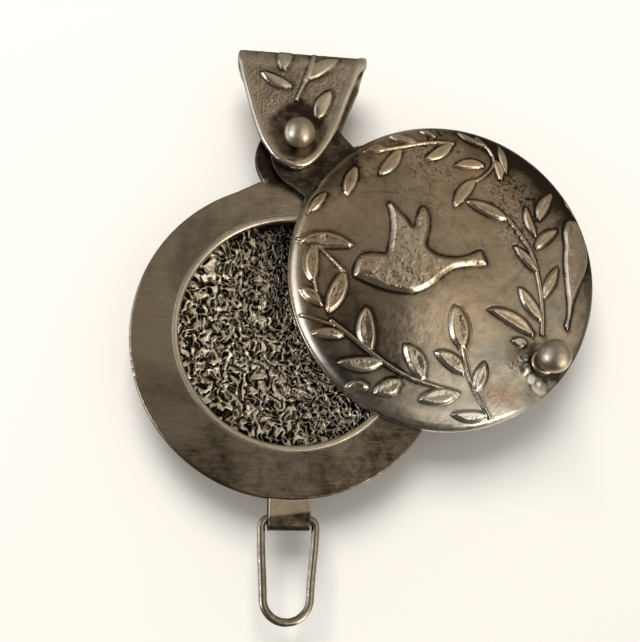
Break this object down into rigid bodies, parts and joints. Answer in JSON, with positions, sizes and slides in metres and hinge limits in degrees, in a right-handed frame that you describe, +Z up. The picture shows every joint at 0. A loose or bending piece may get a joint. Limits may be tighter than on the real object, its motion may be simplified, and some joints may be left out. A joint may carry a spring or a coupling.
{
  "type": "swivel-cover locket pendant",
  "caption": "Round pendant locket in oxidised silver: a domed relief cover swings on a ball rivet over a ring-faced case, held shut by a hinged wire loop on a ball stud.",
  "frame": {"origin": "centre of the bail's eye, on the axis a chain runs along", "axes": "+Z up with the pendant hanging, the face looks towards -Y, +X to the right seen from the front and along the chain's axis"},
  "size_m": [0.0472, 0.0121, 0.0581],
  "materials": {
    "satin_silver": "oxidised silver, satin with fine scratches",
    "relief_silver": "oxidised silver relief, dark in the recesses and rubbed bright on top",
    "reticulated_silver": "crinkled silver, black in the crevices and bright on the ridges",
    "lip_silver": "burnished edge",
    "wire_silver": "drawn wire, lightly oxidised",
    "polished_silver": "polished ball with a warm tarnish"
  },
  "bodies": {
    "bail": {"bail_strap": "relief_silver", "pivot_rivet": "polished_silver", "rear_washer": "satin_silver"},
    "case": {"case_ring": "satin_silver", "opening_bezel": "lip_silver", "well_liner": "reticulated_silver", "back_shell": "satin_silver", "latch_knuckle": "satin_silver"},
    "cover": {"cover_plate": "satin_silver", "cover_dome": "relief_silver", "latch_stud": "polished_silver", "stud_collar": "lip_silver"},
    "latch": {"latch_loop": "wire_silver"}
  },
  "joints": [
    {"name": "case_swivel", "type": "hinge", "parent": "bail", "child": "case", "pos_m": [-0.0007, 0, -0.0073], "axis": [0, -1, 0], "range_deg": [-35, 10]},
    {"name": "cover_swivel", "type": "hinge", "parent": "case", "child": "cover", "pos_m": [-0.0007, 0, -0.0073], "axis": [0, -1, 0], "range_deg": [-48.5, 27]},
    {"name": "latch_hinge", "type": "hinge", "parent": "case", "child": "latch", "pos_m": [-0.0007, 0.00035, -0.04545], "axis": [-1, 0, 0], "range_deg": [-85, 134]}
  ]
}
